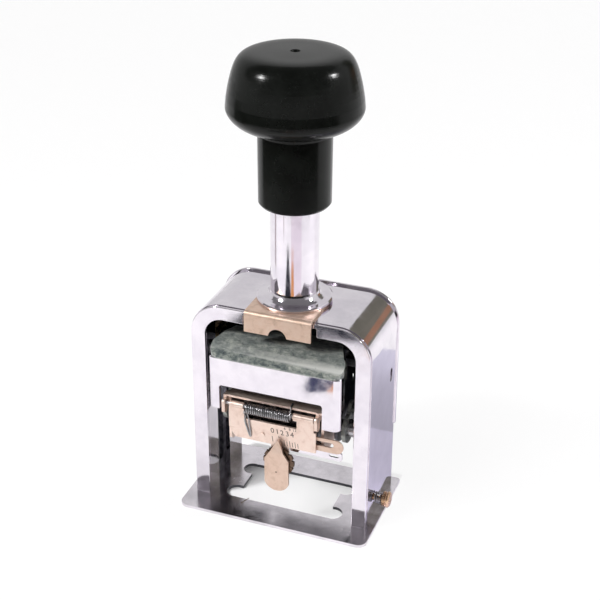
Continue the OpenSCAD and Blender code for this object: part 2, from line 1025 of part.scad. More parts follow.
// Feed arm: two plates on the shaft and a cross bar with a pawl for every ratchet
module feed_arm() {
    plate_x = 15;
    plate_t = 1;
    angle = 110;
    bar_in = 11.1;
    bar_out = 12.6;
    color(steel)
        difference() {
            union() {
                for (side = [-1, 1])
                    slab_x(side > 0 ? plate_x : -plate_x - plate_t, plate_t)
                        translate([head_y, head_z]) {
                            circle(4.4);
                            rotate(angle)
                                translate([0, -1.6])
                                    square([bar_out, 3.2]);
                        }
                slab_x(-plate_x - eps, 2 * (plate_x + eps))
                    translate([head_y, head_z])
                        rotate(angle)
                            translate([bar_in, -1.6])
                                square([bar_out - bar_in, 3.2]);
                for (i = [0:wheel_count - 1])
                    slab_x(wheel_place(i) + 3.2, 0.9)
                        translate([head_y, head_z])
                            rotate(angle)
                                translate([8.7, -0.6])
                                    square([bar_out - 8.7 - 0.4, 1.2]);
            }
            rod_x(-20, 20, head_y, head_z, shaft_r + run_fit);
        }
}

// ---- Lock button ----

module lock_button() {
    color(copper)
        difference() {
            union() {
                rod_x(lock_rest, lock_head_x + 0.5, lock_y, lock_z, lock_r);
                rod_x(lock_head_x, lock_head_x + 0.9, lock_y, lock_z, 2.8);
                rod_x(lock_head_x + 0.8, lock_head_x + 1.3, lock_y, lock_z, 2.3);
                translate([lock_head_x + 1.3, lock_y, lock_z])
                    rotate([0, 90, 0])
                        rotate_extrude()
                            polygon([[0, 0], [2.8, 0], [3, 0.3], [3, 0.8], [2.4, 1.3], [0, 1.6]]);
            }
        }
}

module lock_spring() {
    length = lock_head_x - frame_x - 0.7;
    echo(lock_spring_gap = helix_gap(2, lock_wire, lock_turns, length));
    color(steel)
        translate([frame_x + 0.35, lock_y, lock_z])
            rotate([0, 90, 0])
                helix(2, lock_wire, lock_turns, length);
}

// ---- Ink pad ----

// Tray with a rim round the pad and a finger plate outside the back plate
module pad_holder() {
    tray_y = pad_face + pad_t - 1.4;
    color(steel)
        union() {
            difference() {
                translate([-17.2, tray_y, pad_bottom - 1])
                    cube([34.4, 2.4, pad_h + 2]);
                translate([-pad_w / 2 - 0.02, tray_y - 1, pad_bottom - 0.02])
                    cube([pad_w + 0.04, 2.4, pad_h + 0.04]);
            }
            for (side = [-1, 1])
                translate([side * 12 - 1, tray_y + 2.3, pad_bottom + 3])
                    cube([2, half_d + 1.9 - tray_y - 2.3, 8]);
            slab_y(half_d + 1.8, 1)
                translate([-15, pad_bottom])
                    round_rect(30, pad_h, 2.5);
        }
}

module ink_pad() {
    color(felt)
        translate([-pad_w / 2, pad_face, pad_bottom])
            cube([pad_w, pad_t, pad_h]);
}

base_plate();
base_rivets();
frame_shell();
front_plate();
back_plate();
back_plate_screws();
pad_guides();
guide_sleeve();
sleeve_nut();
stop_bracket();
cam_plate_left();
cam_plate_right();
main_spring();
knob();
plunger_rod();
bumper_ring();
carriage_block();
carriage_yoke();
side_arm_left();
side_arm_right();
arm_screws();
guide_shoes();
rod_pin();
head_frame();
wheel_shaft();
crank_left();
crank_right();
crank_screws();
hinge_rod();
detent_comb();
lower_rail();
dial_plate();
dial_spring();
selector_stud();
selector_star();
selector_lever();
slotted_slide();
number_wheel_1();
number_wheel_2();
number_wheel_3();
number_wheel_4();
number_wheel_5();
number_wheel_6();
feed_arm();
lock_button();
lock_spring();
pad_holder();
ink_pad();
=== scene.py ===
import json
import math
import random

import bmesh
import bpy
from mathutils import Matrix, Vector


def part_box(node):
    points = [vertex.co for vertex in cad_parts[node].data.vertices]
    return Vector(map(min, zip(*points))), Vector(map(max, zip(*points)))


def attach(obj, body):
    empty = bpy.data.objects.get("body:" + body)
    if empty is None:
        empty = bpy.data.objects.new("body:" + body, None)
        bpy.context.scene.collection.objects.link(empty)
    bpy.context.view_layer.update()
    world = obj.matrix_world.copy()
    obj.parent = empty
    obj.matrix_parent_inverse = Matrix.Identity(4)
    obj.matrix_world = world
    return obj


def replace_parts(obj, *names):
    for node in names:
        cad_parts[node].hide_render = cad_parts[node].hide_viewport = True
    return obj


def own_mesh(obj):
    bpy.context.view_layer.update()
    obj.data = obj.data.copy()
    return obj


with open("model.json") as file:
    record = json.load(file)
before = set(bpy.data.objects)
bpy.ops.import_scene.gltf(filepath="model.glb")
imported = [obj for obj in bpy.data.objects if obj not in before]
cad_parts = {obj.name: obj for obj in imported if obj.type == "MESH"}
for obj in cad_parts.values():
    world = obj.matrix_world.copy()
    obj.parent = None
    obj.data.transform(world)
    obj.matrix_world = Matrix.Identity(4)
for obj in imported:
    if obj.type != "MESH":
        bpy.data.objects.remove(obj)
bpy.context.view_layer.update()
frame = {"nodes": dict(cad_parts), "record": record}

MM = 0.001
NODES = frame["nodes"]
SCENE = bpy.context.scene
random.seed(7)

ROOM_LEVEL = 0.2
STAGE_PAINT = (0.9, 0.895, 0.9)
FLOOR_HALF = 1.6
# The floor under the foot, as half sizes, and how the camera's share of plain white rises there along X
UNDER_FOOT = (0.036, 0.024)
UNDER_FOOT_RISE = {"From Min": -0.020, "From Max": 0.004, "To Max": 0.62}
WALL_RADIUS = 1.5
WALL_STEPS = 48
# The wall's height in front and behind, as shares of its radius
FRONT_WALL = 0.30
BACK_WALL = 1.15
SOFTBOX_SIZE = 0.08
SOFTBOX_TARGET = Vector((0, 0, 0.09))
CARD_DARK = (0.012, 0.012, 0.010)


# ---- Stage, lights and camera ----

def link(name, data):
    obj = bpy.data.objects.new(name, data)
    SCENE.collection.objects.link(obj)
    return obj


def aim(direction):
    """Turns a lamp so that it shines along the direction."""
    return Vector(direction).to_track_quat("-Z", "Y").to_euler()


def maths(tree, kind, a, b=0.0):
    """The output of a Math node whose inputs are sockets or floats."""
    node = tree.nodes.new("ShaderNodeMath")
    node.operation = kind
    for value, socket in ((a, node.inputs[0]), (b, node.inputs[1])):
        if isinstance(value, float):
            socket.default_value = value
        else:
            tree.links.new(value, socket)
    return node.outputs[0]


def add_camera():
    right = Vector((0.93440126, 0.35619047, 0.004757))
    up = Vector((-0.16766653, 0.42798208, 0.88809869))
    forward = Vector((-0.31429637, 0.83063812, -0.45962821))
    place = Vector((0.146419, -0.381603, 0.292924))
    data = bpy.data.cameras.new("photo_camera")
    data.lens = 78.0
    data.sensor_width = 36.0
    data.clip_start = 0.01
    camera = link("photo_camera", data)
    camera.matrix_world = Matrix([
        (right[i], up[i], -forward[i], place[i]) for i in range(3)
    ] + [(0, 0, 0, 1)])
    SCENE.camera = camera


def add_overhead():
    """A broad soft light from above the front left, which reflections leave out."""
    data = bpy.data.lights.new("overhead", "SUN")
    data.energy = 1.7
    data.angle = math.radians(28)
    lamp = link("overhead", data)
    lamp.rotation_euler = aim((0.55, 0.75, -1))
    lamp.visible_glossy = False


def add_softbox(name, place, watts):
    """A square lamp that faces the object and shows in the knob."""
    data = bpy.data.lights.new(name, "AREA")
    data.shape = "RECTANGLE"
    data.size = data.size_y = SOFTBOX_SIZE
    data.energy = watts
    lamp = link(name, data)
    lamp.location = place
    lamp.rotation_euler = aim(SOFTBOX_TARGET - Vector(place))


def add_world():
    """A plain grey room above the pale stage."""
    world = bpy.data.worlds.new("room")
    SCENE.world = world
    world.use_nodes = True
    fill = world.node_tree.nodes["Background"]
    fill.inputs["Color"].default_value = (1, 0.985, 1, 1)
    fill.inputs["Strength"].default_value = ROOM_LEVEL


def stage_material(name, camera_share, glossy_share, level=1.0, shaded=None):
    """Pale diffuse paint; part of it is plain white to the camera and to reflections.

    Inside the shaded half sizes the camera sees more of the paint and of the shadow on it."""
    mat = bpy.data.materials.new(name)
    mat.use_nodes = True
    tree = mat.node_tree
    tree.nodes.clear()
    path = tree.nodes.new("ShaderNodeLightPath").outputs
    mirrored = maths(tree, "MAXIMUM", path["Is Glossy Ray"], path["Is Transmission Ray"])
    seen = camera_share
    if shaded:
        split = tree.nodes.new("ShaderNodeSeparateXYZ")
        tree.links.new(tree.nodes.new("ShaderNodeTexCoord").outputs["Object"], split.inputs[0])
        beyond = [maths(tree, "DIVIDE", maths(tree, "ABSOLUTE", split.outputs[axis]), half)
                  for axis, half in enumerate(shaded)]
        outside = maths(tree, "GREATER_THAN", maths(tree, "MAXIMUM", *beyond), 1.0)
        along = tree.nodes.new("ShaderNodeMapRange")
        for key, value in UNDER_FOOT_RISE.items():
            along.inputs[key].default_value = value
        tree.links.new(split.outputs["X"], along.inputs["Value"])
        seen = maths(tree, "MAXIMUM", along.outputs["Result"], outside)
        seen = maths(tree, "MULTIPLY", seen, camera_share)
    share = maths(tree, "MAXIMUM", maths(tree, "MULTIPLY", path["Is Camera Ray"], seen),
                  maths(tree, "MULTIPLY", mirrored, glossy_share))
    paint = tree.nodes.new("ShaderNodeBsdfDiffuse")
    paint.inputs["Color"].default_value = (*STAGE_PAINT, 1)
    glow = tree.nodes.new("ShaderNodeEmission")
    glow.inputs["Color"].default_value = (1, 1, 1, 1)
    glow.inputs["Strength"].default_value = level
    mix = tree.nodes.new("ShaderNodeMixShader")
    tree.links.new(share, mix.inputs[0])
    tree.links.new(paint.outputs[0], mix.inputs[1])
    tree.links.new(glow.outputs[0], mix.inputs[2])
    out = tree.nodes.new("ShaderNodeOutputMaterial")
    tree.links.new(mix.outputs[0], out.inputs[0])
    return mat


def add_floor():
    half = FLOOR_HALF
    mesh = bpy.data.meshes.new("floor")
    mesh.from_pydata([(-half, -half, 0), (half, -half, 0), (half, half, 0), (-half, half, 0)],
                     [], [(0, 1, 2, 3)])
    mesh.materials.append(stage_material("floor", 0.86, 0.3, shaded=UNDER_FOOT))
    link("floor", mesh)


def add_backdrop():
    """A white wall round the floor, higher behind the object than in front of it."""
    verts = []
    for i in range(WALL_STEPS):
        angle = 2 * math.pi * i / WALL_STEPS
        x, y = WALL_RADIUS * math.cos(angle), WALL_RADIUS * math.sin(angle)
        behind = max(0.0, min(1.0, (y / WALL_RADIUS + 0.15) / 0.5))
        verts += [(x, y, 0), (x, y, WALL_RADIUS * (FRONT_WALL + (BACK_WALL - FRONT_WALL) * behind))]
    count = len(verts)
    faces = [(i, i + 1, (i + 3) % count, (i + 2) % count) for i in range(0, count, 2)]
    mesh = bpy.data.meshes.new("backdrop")
    mesh.from_pydata(verts, [], faces)
    mesh.materials.append(stage_material("backdrop", 0.95, 0.9, 0.8))
    link("backdrop", mesh)


def add_flag(name, corners, colour=CARD_DARK):
    """A card of the studio that only reflections show, dark unless a colour is given."""
    mesh = bpy.data.meshes.new(name)
    mesh.from_pydata(corners, [], [tuple(range(len(corners)))])
    mat = bpy.data.materials.new(name)
    mat.use_nodes = True
    paint = mat.node_tree.nodes["Principled BSDF"]
    paint.inputs["Base Color"].default_value = (*colour, 1)
    paint.inputs["Roughness"].default_value = 1.0
    paint.inputs["Specular IOR Level"].default_value = 0.0
    mesh.materials.append(mat)
    flag = link(name, mesh)
    flag.visible_camera = False
    flag.visible_diffuse = False
    flag.visible_shadow = False


def polar(azimuth, distance, height):
    """A point round the object, from degrees and metres."""
    angle = math.radians(azimuth)
    return Vector((distance * math.cos(angle), distance * math.sin(angle), height))


def floor_wedge(azimuth, near, far, near_half, far_half, z=0.002):
    """Corners of a tapering strip that runs outwards on the floor."""
    side = polar(azimuth + 90, 1, 0)
    a, b = polar(azimuth, near, z), polar(azimuth, far, z)
    return [a - side * near_half, b - side * far_half, b + side * far_half, a + side * near_half]


def floor_sector(start, end, near, far, z=0.0015):
    """Corners of a part of a flat ring on the floor."""
    steps = [start + (end - start) * i / 16 for i in range(17)]
    return [polar(a, near, z) for a in steps] + [polar(a, far, z) for a in reversed(steps)]


def floor_patch(*corners):
    """Corners on the floor, given in mm."""
    return [Vector((x, y, 1.5)) * MM for x, y in corners]


def upright_card(corners, distance=0.95):
    """Corners, given as azimuth and elevation, on an upright round wall."""
    return [polar(a, distance, distance * math.tan(math.radians(e))) for a, e in corners]


# Cards outside the picture that give the bright metal and the knob their lines
CARDS = (
    ("dark_front", floor_sector(176, 364, 0.292, 1.3)),
    ("dark_wedge", floor_wedge(-100, 0.145, 0.225, 0.055, 0.016), (0.02, 0.022, 0.03)),
    ("brown_wedge", floor_wedge(-79, 0.150, 0.215, 0.024, 0.018, 0.0025), (0.62, 0.27, 0.10)),
    ("pale_sector", floor_sector(-86, -38, 0.170, 0.290), (0.76, 0.70, 0.75)),
    ("thin_line", floor_wedge(-169, 0.200, 0.300, 0.016, 0.022), (0.42, 0.38, 0.38)),
    ("short_line", floor_wedge(-121, 0.245, 0.300, 0.010, 0.012), (0.5, 0.45, 0.46)),
    ("olive_card", upright_card([(88, 38), (66, 42), (42, 10), (42, 3.5), (64, 3.5)]),
     (0.19, 0.185, 0.15)),
    ("brown_card", upright_card([(67, 20), (50, 18), (47, 9), (63, 8)], 0.93), (0.36, 0.20, 0.13)),
    ("blue_smudge",
     floor_patch((-24, -124), (-17, -128), (-10, -122), (-11, -111), (-19, -107), (-22, -113)),
     (0.05, 0.055, 0.10)),
    ("orange_smudge", floor_patch((-10, -121), (-8, -120), (-8.5, -110), (-10.5, -112)),
     (0.62, 0.30, 0.16)),
    ("corner_smudge",
     floor_patch((-34, -157), (-20, -160), (-8, -153), (-8, -141), (-16, -146), (-28, -150)),
     (0.14, 0.14, 0.17)),
    ("corner_streak", floor_patch((-8, -152), (-3, -146), (-3, -132), (-8, -141)),
     (0.50, 0.25, 0.15)),
    ("side_card_near",
     [(0.034, -0.02, 0.001), (0.06, -0.02, 0.001), (0.09, 0.05, 0.001), (0.034, 0.05, 0.001)],
     (0.80, 0.78, 0.93)),
    ("side_card",
     [(0.034, 0.05, 0.001), (0.09, 0.05, 0.001), (0.12, 0.115, 0.001), (0.034, 0.115, 0.001)],
     (0.60, 0.59, 0.69)),
)

SCENE.view_settings.view_transform = "Standard"
add_camera()
add_world()
add_floor()
add_backdrop()
add_overhead()
add_softbox("softbox_left", (-0.372, -0.335, 0.44), 2.6)
add_softbox("softbox_right", (0.49, 0.10, 0.44), 2.2)
for card in CARDS:
    add_flag(*card)


# ---- Materials ----

class Shader:
    """Builds a Principled material; noise in object space gives most of its colour, gloss and bump."""

    def __init__(self, name):
        self.mat = bpy.data.materials.new(name)
        self.mat.use_nodes = True
        self.tree = self.mat.node_tree
        self.bsdf = self.tree.nodes["Principled BSDF"]
        source = self.tree.nodes.new("ShaderNodeTexCoord").outputs
        self.coords, self.normals = source["Object"], source["Normal"]

    def node(self, kind, **values):
        node = self.tree.nodes.new(kind)
        for key, value in values.items():
            if key in node.inputs:
                node.inputs[key].default_value = value
            else:
                setattr(node, key, value)
        return node

    def link(self, a, b):
        self.tree.links.new(a, b)

    def axes(self, source):
        """The X, Y and Z of a vector."""
        split = self.node("ShaderNodeSeparateXYZ")
        self.link(source, split.inputs[0])
        return split.outputs

    def noise(self, scale, detail, rough, stretch=None, distortion=0.0):
        noise = self.node("ShaderNodeTexNoise", Scale=scale, Detail=detail, Roughness=rough,
                          Distortion=distortion)
        source = self.coords
        if stretch:
            mapping = self.node("ShaderNodeMapping", Scale=stretch)
            self.link(source, mapping.inputs["Vector"])
            source = mapping.outputs["Vector"]
        self.link(source, noise.inputs["Vector"])
        return noise.outputs["Fac"]

    def ramp(self, fac, *stops):
        """Colours, or grey levels, at places along the factor."""
        ramp = self.node("ShaderNodeValToRGB")
        items = ramp.color_ramp.elements
        while len(items) < len(stops):
            items.new(0.5)
        for item, (place, colour) in zip(items, stops):
            item.position = place
            if isinstance(colour, (int, float)):
                colour = (colour, colour, colour)
            item.color = (*colour, 1)
        self.link(fac, ramp.inputs["Fac"])
        return ramp.outputs["Color"]

    def span(self, fac, low, high, start=0.3, end=0.7):
        """Low up to the start of the factor's range, high from its end on."""
        span = self.node("ShaderNodeMapRange")
        span.inputs["From Min"].default_value = start
        span.inputs["From Max"].default_value = end
        span.inputs["To Min"].default_value = low
        span.inputs["To Max"].default_value = high
        self.link(fac, span.inputs["Value"])
        return span.outputs["Result"]

    def maths(self, kind, a, b=0.0):
        return maths(self.tree, kind, a, b)

    def blend(self, fac, a, b):
        """From colour a to colour b, each a socket or a tuple."""
        mix = self.node("ShaderNodeMix", data_type="RGBA")
        self.link(fac, mix.inputs["Factor"])
        for source, socket in ((a, mix.inputs[6]), (b, mix.inputs[7])):
            if isinstance(source, tuple):
                socket.default_value = (*source, 1)
            else:
                self.link(source, socket)
        return mix.outputs[2]

    def colour(self, source):
        self.link(source, self.bsdf.inputs["Base Color"])

    def roughness(self, source):
        self.link(source, self.bsdf.inputs["Roughness"])

    def bump(self, height, distance, strength):
        bump = self.node("ShaderNodeBump", Strength=strength, Distance=distance)
        self.link(height, bump.inputs["Height"])
        self.link(bump.outputs["Normal"], self.bsdf.inputs["Normal"])

    def worn_edges(self, colour, wear_and_highlight):
        """Blends to a pale colour where the surface is convex: edge wear, and a painted highlight on the
        edges.
        """
        geometry = self.node("ShaderNodeNewGeometry")
        edge = self.span(geometry.outputs["Pointiness"], 0.0, 1.0, 0.52, 0.6)
        return self.blend(edge, colour, wear_and_highlight)


def make_chrome(name="chrome", tint=(0.79, 0.75, 0.80), dark=(0.69, 0.65, 0.71), rough=(0.05, 0.15),
                inner_shade=None, wall_shade=None):
    """Plated steel. A colour given as inner shade is painted shade on the inner face of the rear plate,
    and one given as wall shade is painted shade on the cut faces inside a foot's rim.
    """
    s = Shader(name)
    s.bsdf.inputs["Metallic"].default_value = 1.0
    base = s.ramp(s.noise(90, 6, 0.6), (0.35, dark), (0.6, tint))
    if inner_shade:
        # Painted shade: the face that looks into the machine is coloured near black, up to where the frame
        # covers it
        half_width, height, corner = 0.0325, 0.0805, 0.1075
        facing, place = s.axes(s.normals), s.axes(s.coords)
        inner = s.span(facing["Y"], 1.0, 0.0, -0.9, -0.6)
        out, high = s.maths("ABSOLUTE", place["X"]), place["Z"]
        for source, limit in ((out, half_width), (high, height), (s.maths("ADD", out, high), corner)):
            inner = s.maths("MULTIPLY", inner, s.maths("LESS_THAN", source, limit))
        base = s.blend(inner, base, inner_shade)
    if wall_shade:
        # Painted shade: the cut faces inside the outer rim are coloured darker
        rim = {"X": 0.033, "Y": 0.0215}
        facing, place = s.axes(s.normals), s.axes(s.coords)
        cut = s.span(s.maths("ABSOLUTE", facing["Z"]), 1.0, 0.0, 0.5, 0.8)
        for axis, limit in rim.items():
            within = s.maths("LESS_THAN", s.maths("ABSOLUTE", place[axis]), limit)
            cut = s.maths("MULTIPLY", cut, within)
        base = s.blend(cut, base, wall_shade)
    s.colour(base)
    smudge = s.noise(210, 8, 0.65, distortion=0.4)
    s.roughness(s.span(smudge, *rough, 0.35, 0.72))
    s.bump(s.noise(55, 2, 0.4), 0.00022, 0.55)
    return s.mat


def make_nickel(name="nickel", tint=(0.81, 0.64, 0.56), dark=(0.66, 0.49, 0.41),
                pale=(0.85, 0.71, 0.63)):
    s = Shader(name)
    s.bsdf.inputs["Metallic"].default_value = 0.85
    stain = s.noise(330, 8, 0.62, distortion=0.6)
    base = s.ramp(stain, (0.28, dark), (0.48, tint), (0.8, pale))
    speck = s.noise(2600, 3, 0.6)
    base = s.blend(s.span(speck, 0.0, 0.5, 0.66, 0.8), base, (0.33, 0.25, 0.2))
    s.colour(base)
    s.roughness(s.span(s.noise(900, 5, 0.6), 0.3, 0.52))
    s.bump(s.noise(1500, 4, 0.6), 0.00004, 0.35)
    return s.mat


def make_casting():
    s = Shader("casting")
    s.bsdf.inputs["Metallic"].default_value = 0.5
    patch = s.noise(520, 9, 0.74, stretch=(0.6, 1, 1), distortion=0.35)
    base = s.ramp(patch, (0.36, (0.05, 0.062, 0.07)), (0.48, (0.16, 0.185, 0.175)),
                  (0.58, (0.30, 0.32, 0.29)), (0.7, (0.55, 0.56, 0.50)))
    # Convex edges turn pale: edge wear, and a painted highlight
    s.colour(s.worn_edges(base, (0.6, 0.61, 0.58)))
    s.roughness(s.span(s.noise(700, 6, 0.7), 0.24, 0.5))
    s.bump(s.noise(800, 7, 0.7), 0.00012, 0.5)
    return s.mat


def make_steel(name="steel", tint=(0.56, 0.55, 0.57), dark=(0.36, 0.35, 0.37), rough=(0.2, 0.38)):
    s = Shader(name)
    s.bsdf.inputs["Metallic"].default_value = 1.0
    s.colour(s.ramp(s.noise(500, 6, 0.6), (0.3, dark), (0.62, tint)))
    s.roughness(s.span(s.noise(1400, 4, 0.6), *rough))
    s.bump(s.noise(2200, 3, 0.6), 0.00003, 0.3)
    return s.mat


def make_black():
    s = Shader("black_moulding")
    s.bsdf.inputs["Specular IOR Level"].default_value = 0.14
    s.colour(s.ramp(s.noise(140, 5, 0.6), (0.35, (0.0025, 0.003, 0.0024)), (0.65, (0.005, 0.0058, 0.005))))
    scuff = s.noise(1700, 6, 0.7, stretch=(1, 1, 0.35))
    s.roughness(s.span(scuff, 0.15, 0.27, 0.4, 0.75))
    s.bump(s.noise(500, 3, 0.5), 0.00002, 0.15)
    return s.mat


def make_felt():
    s = Shader("inked_felt")
    s.bsdf.inputs["Sheen Weight"].default_value = 0.3
    s.colour(s.ramp(s.noise(1200, 6, 0.7), (0.3, (0.012, 0.012, 0.03)), (0.7, (0.05, 0.05, 0.08))))
    s.roughness(s.span(s.noise(3000, 4, 0.7), 0.75, 0.98))
    s.bump(s.noise(4200, 5, 0.75), 0.0002, 0.8)
    return s.mat


def make_rubber():
    s = Shader("rubber")
    s.colour(s.ramp(s.noise(900, 5, 0.6), (0.3, (0.02, 0.02, 0.02)), (0.7, (0.045, 0.045, 0.045))))
    s.roughness(s.span(s.noise(1600, 4, 0.6), 0.6, 0.85))
    s.bump(s.noise(2500, 4, 0.6), 0.00005, 0.4)
    return s.mat


def make_paint():
    s = Shader("engraving_paint")
    s.colour(s.ramp(s.noise(3000, 3, 0.6), (0.3, (0.02, 0.015, 0.012)), (0.7, (0.07, 0.055, 0.045))))
    s.roughness(s.span(s.noise(2000, 3, 0.6), 0.5, 0.8))
    return s.mat


# Looks by name: the record's slots, and looks that differ a little from them; base_chrome and back_chrome
# carry painted shade
MATERIALS = {
    "chrome": make_chrome(),
    "nickel": make_nickel(),
    "cast_grey": make_casting(),
    "steel": make_steel(),
    "spring_steel": make_steel("spring_steel", (0.42, 0.41, 0.42), (0.2, 0.2, 0.21), (0.22, 0.4)),
    "black": make_black(),
    "bracket_nickel": make_nickel("bracket_nickel", (0.72, 0.53, 0.42), (0.56, 0.40, 0.30),
                                  (0.76, 0.60, 0.50)),
    "lever_nickel": make_nickel("lever_nickel", (0.66, 0.49, 0.40), (0.54, 0.39, 0.30),
                                (0.70, 0.55, 0.46)),
    # Painted shade on the foot's cut faces and on the rear plate's inner face
    "base_chrome": make_chrome("base_chrome", (0.80, 0.76, 0.81), (0.62, 0.59, 0.63), (0.14, 0.30),
                               wall_shade=(0.10, 0.10, 0.11)),
    "back_chrome": make_chrome("back_chrome", inner_shade=(0.01, 0.012, 0.018)),
    "dark_steel": make_steel("dark_steel", (0.14, 0.145, 0.16), (0.04, 0.042, 0.05), (0.3, 0.5)),
    "bronze": make_steel("bronze", (0.22, 0.15, 0.11), (0.05, 0.035, 0.025), (0.28, 0.5)),
    "copper": make_steel("copper", (0.74, 0.50, 0.33), (0.36, 0.21, 0.11), (0.16, 0.34)),
    "brass": make_steel("brass", (0.72, 0.56, 0.30), (0.45, 0.33, 0.16), (0.2, 0.4)),
    "wheel_steel": make_steel("wheel_steel", (0.17, 0.16, 0.17), (0.06, 0.06, 0.07), (0.3, 0.5)),
    "felt": make_felt(),
    "rubber": make_rubber(),
    "paint": make_paint(),
    "brass_paint": make_steel("brass_paint", (0.30, 0.22, 0.12), (0.08, 0.06, 0.04), (0.4, 0.6)),
}


def finish_with(obj, slot, material=None):
    """Gives a piece its look: the named one, or else the one of its record slot."""
    obj.data.materials.clear()
    obj.data.materials.append(MATERIALS[material or slot])


# ---- CAD nodes: materials and softened edges ----

SLOT_OF = {part["node"]: part["material_slot"] for part in frame["record"]["subparts"]}
# The width of each softened edge, in mm
EDGE_MM = {
    "frame_shell": 0.35, "front_plate": 0.22, "back_plate": 0.25, "base_plate": 0.2,
    "carriage_block": 0.5, "carriage_yoke": 0.22, "stop_bracket": 0.1, "dial_plate": 0.1,
    "slotted_slide": 0.1, "selector_lever": 0.1, "lower_rail": 0.1, "head_frame": 0.1,
    "side_arm_left": 0.12, "side_arm_right": 0.12, "crank_left": 0.15, "crank_right": 0.15,
    "pad_holder": 0.15, "guide_shoes": 0.15, "sleeve_nut": 0.2,
}


def soften(obj, width_mm):
    """Rounds a CAD node's sharp edges, with modifiers alone."""
    weld = obj.modifiers.new("weld", "WELD")
    weld.merge_threshold = 2e-6
    bevel = obj.modifiers.new("bevel", "BEVEL")
    bevel.width = width_mm * MM
    bevel.segments = 2
    bevel.limit_method = "ANGLE"
    bevel.angle_limit = math.radians(40)
    bevel.harden_normals = True
    bevel.use_clamp_overlap = True
    # Large flat faces keep their own direction, so that they mirror without streaks
    weighted = obj.modifiers.new("weighted_normals", "WEIGHTED_NORMAL")
    weighted.weight = 80
    weighted.keep_sharp = True


# Pieces whose colour differs a little from the plain one of their slot; on the rear plate and the foot
# that difference is painted shade
LOOK_OF = {
    "stop_bracket": "bracket_nickel", "selector_lever": "lever_nickel", "back_plate": "back_chrome",
    "cam_plate_left": "dark_steel", "cam_plate_right": "dark_steel", "pad_guides": "dark_steel",
    "side_arm_left": "dark_steel", "side_arm_right": "dark_steel", "sleeve_nut": "dark_steel",
    "base_plate": "base_chrome", "slotted_slide": "lever_nickel",
}

for name, obj in NODES.items():
    for slot in obj.material_slots:
        slot.material = MATERIALS[LOOK_OF.get(name, SLOT_OF[name])]
    if name in EDGE_MM:
        soften(obj, EDGE_MM[name])


# ---- Springs ----

PER_TURN = 24


def helix_points(radius, turns, length, start=0.0):
    """Points of a helix along X, in mm."""
    steps = int(turns * PER_TURN)
    return [
        Vector((
            length * i / steps,
            radius * math.cos(start + 2 * math.pi * i / PER_TURN),
            radius * math.sin(start + 2 * math.pi * i / PER_TURN),
        )) for i in range(steps + 1)
    ]


def smooth(mesh):
    for polygon in mesh.polygons:
        polygon.use_smooth = True


def mesh_of(name, curve):
    """The mesh of a curve or of a text."""
    carrier = link(name, curve)
    depsgraph = bpy.context.evaluated_depsgraph_get()
    mesh = bpy.data.meshes.new_from_object(carrier.evaluated_get(depsgraph))
    bpy.data.objects.remove(carrier)
    return mesh


def wire(name, points, radius_mm, body, sides):
    """A round steel wire through the points, in mm, as a mesh tube."""
    data = bpy.data.curves.new(name, "CURVE")
    data.dimensions = "3D"
    data.bevel_depth = radius_mm * MM
    data.bevel_resolution = sides
    data.use_fill_caps = True
    spline = data.splines.new("POLY")
    spline.points.add(len(points) - 1)
    for item, point in zip(spline.points, points):
        item.co = (*(point * MM), 1)
    spline.use_smooth = True
    piece = link(name, mesh_of(name + "_path", data))
    smooth(piece.data)
    finish_with(piece, "spring_steel")
    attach(piece, body)
    return piece


def corner_path(points, radius=0.5, steps=5):
    """Rounds the corners of a polyline given in mm."""
    out = [points[0]]
    for before, here, after in zip(points, points[1:], points[2:]):
        a = (before - here).normalized() * min(radius, (before - here).length / 2)
        b = (after - here).normalized() * min(radius, (after - here).length / 2)
        for i in range(steps + 1):
            t = i / steps
            out.append(here + a * (1 - t) ** 2 + b * t ** 2)
    out.append(points[-1])
    return out


def add_dial_spring():
    """A close coil with a hairpin leg down the dial plate and a hook over the roof plate."""
    radius, wire_r, turns, length = 1.72, 0.30, 21, 17.25
    origin = Vector((-10.3, -21.1, 46.38))
    coil = [p + origin for p in helix_points(radius, turns, length, math.pi)]
    face = -21.2
    left = corner_path([
        Vector((-8.75, face, 38.4)), Vector((-8.5, face, 35.0)), Vector((-8.85, face, 35.0)),
        Vector((-9.75, face, 37.4)), Vector((-10.8, face, 41.2)), Vector((-10.5, face - 0.05, 43.4)),
        Vector((-10.45, -22.6, 45.2)), coil[0],
    ])
    strand = corner_path([
        Vector((-8.7, face, 36.2)), Vector((-9.25, face, 42.2)), Vector((-9.4, -22.2, 44.9)),
    ])
    end = coil[-1]
    right = corner_path([
        end, end + Vector((0.1, 0.5, 1.4)), Vector((6.4, -19.9, 49.75)), Vector((6.2, -17.6, 49.85)),
    ])
    whole = left[:-1] + coil + right[1:]
    for name, points in (("dial_spring_wound", whole), ("dial_spring_leg", strand)):
        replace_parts(wire(name, points, wire_r, "dial", 3), "dial_spring")


def add_main_spring():
    """The open coil round the rod, as long as the CAD spring; on the real stamp it flattens as the knob
    goes down.
    """
    radius, wire_r, turns, end = 5.4, 0.64, 15, 0.65
    low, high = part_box("main_spring")
    length = (high.z - low.z) / MM - 2 * end
    points = [Vector((p.y, p.z, p.x)) for p in helix_points(radius, turns, length)]
    points = [p + Vector((0, 0, low.z / MM + end)) for p in points]
    spring = wire("main_spring_wound", points, wire_r, "root", 4)
    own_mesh(spring)
    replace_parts(spring, "main_spring")


def add_lock_spring():
    """The small coil round the lock button's pin, as long as the CAD spring; on the real stamp it flattens
    as the button goes in.
    """
    radius, wire_r, turns, end = 2.0, 0.22, 4, 0.23
    low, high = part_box("lock_spring")
    centre = (low + high) / 2 / MM
    length = (high.x - low.x) / MM - 2 * end
    origin = Vector((low.x / MM + end, centre.y, centre.z))
    points = [p + origin for p in helix_points(radius, turns, length)]
    spring = wire("lock_spring_wound", points, wire_r, "root", 4)
    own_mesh(spring)
    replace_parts(spring, "lock_spring")


add_dial_spring()
add_main_spring()
add_lock_spring()


# ---- Ink pad ----

